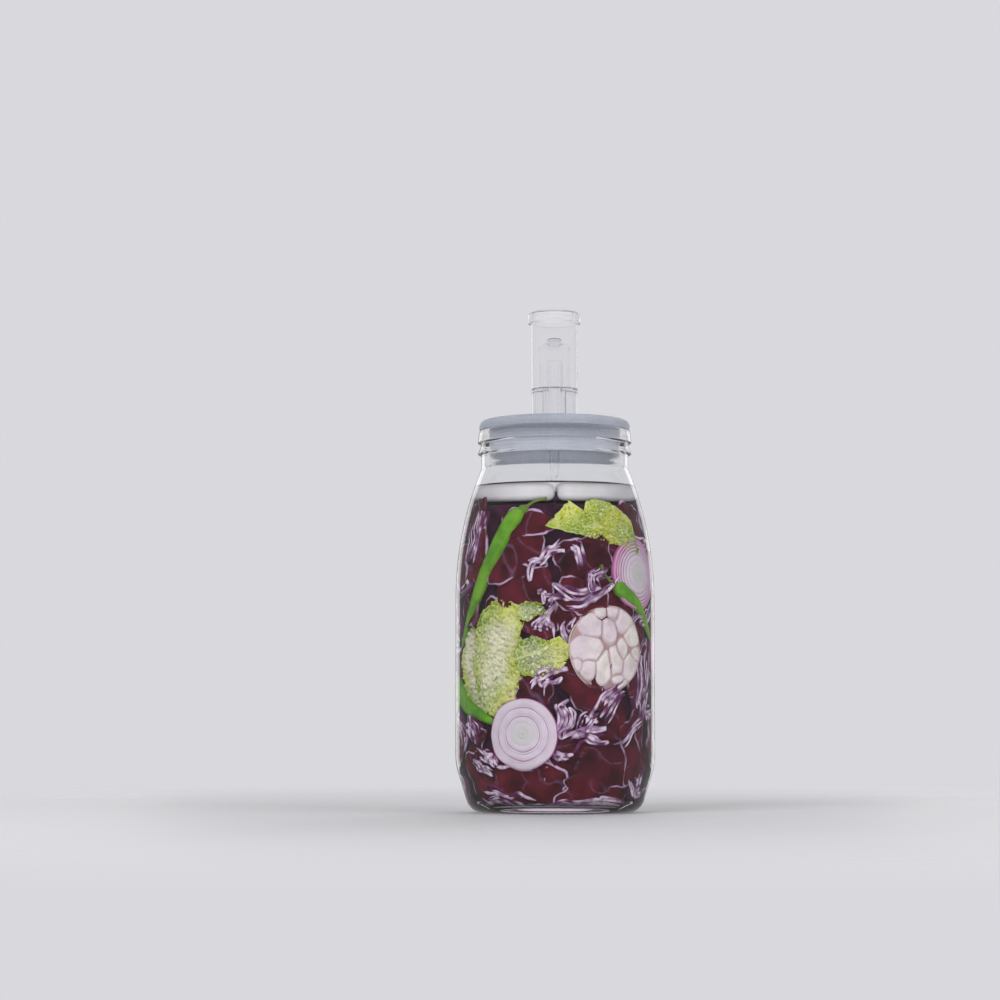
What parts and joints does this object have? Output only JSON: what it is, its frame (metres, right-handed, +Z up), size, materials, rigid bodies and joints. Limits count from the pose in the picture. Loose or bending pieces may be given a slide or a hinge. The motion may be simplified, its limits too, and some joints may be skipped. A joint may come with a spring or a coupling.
{
  "type": "fermentation jar with airlock",
  "caption": "Tall wide-mouth glass fermentation jar with a push-in silicone lid, a clear water airlock on top and half-moon weights that hold packed vegetables under brine.",
  "frame": {"origin": "centre of the base ring, on the surface that the jar stands on", "axes": "+Z up along the jar's axis; the weights meet on the plane x = 0, and -Y is the front"},
  "size_m": [0.14, 0.14, 0.3532],
  "materials": {
    "jar_glass": "polished",
    "lid_silicone": "matte",
    "airlock_clear": "gloss",
    "cap_plastic": "satin",
    "water": "polished",
    "weight_glaze": "gloss",
    "vegetables": "satin",
    "brine": "polished"
  },
  "bodies": {
    "jar": {"glass_jar": "jar_glass", "vegetable_packing": "vegetables", "brine": "brine"},
    "lid": {"silicone_lid": "lid_silicone"},
    "airlock": {"airlock_body": "airlock_clear", "airlock_water": "water"},
    "float": {"airlock_float": "airlock_clear"},
    "cap": {"airlock_cap": "cap_plastic"},
    "left_weight": {"weight_left": "weight_glaze"},
    "right_weight": {"weight_right": "weight_glaze"}
  },
  "joints": [
    {"name": "lid_lift", "type": "slide", "parent": "jar", "child": "lid", "axis": [0, 0, 1], "range_m": [0, 0.06]},
    {"name": "airlock_pull", "type": "slide", "parent": "lid", "child": "airlock", "axis": [0, 0, 1], "range_m": [0, 0.06]},
    {"name": "float_rise", "type": "slide", "parent": "airlock", "child": "float", "axis": [0, 0, 1], "range_m": [0, 0.014]},
    {"name": "cap_pull", "type": "slide", "parent": "airlock", "child": "cap", "axis": [0, 0, 1], "range_m": [0, 0.03]},
    {"name": "left_weight_settle", "type": "slide", "parent": "jar", "child": "left_weight", "axis": [0, 0, -1], "range_m": [0, 0.03], "deforming": ["vegetable_packing"]},
    {"name": "right_weight_settle", "type": "slide", "parent": "jar", "child": "right_weight", "axis": [0, 0, -1], "range_m": [0, 0.03]}
  ],
  "couplings": [
    {"joint": "right_weight_settle", "follows": "left_weight_settle", "ratio": 1}
  ]
}
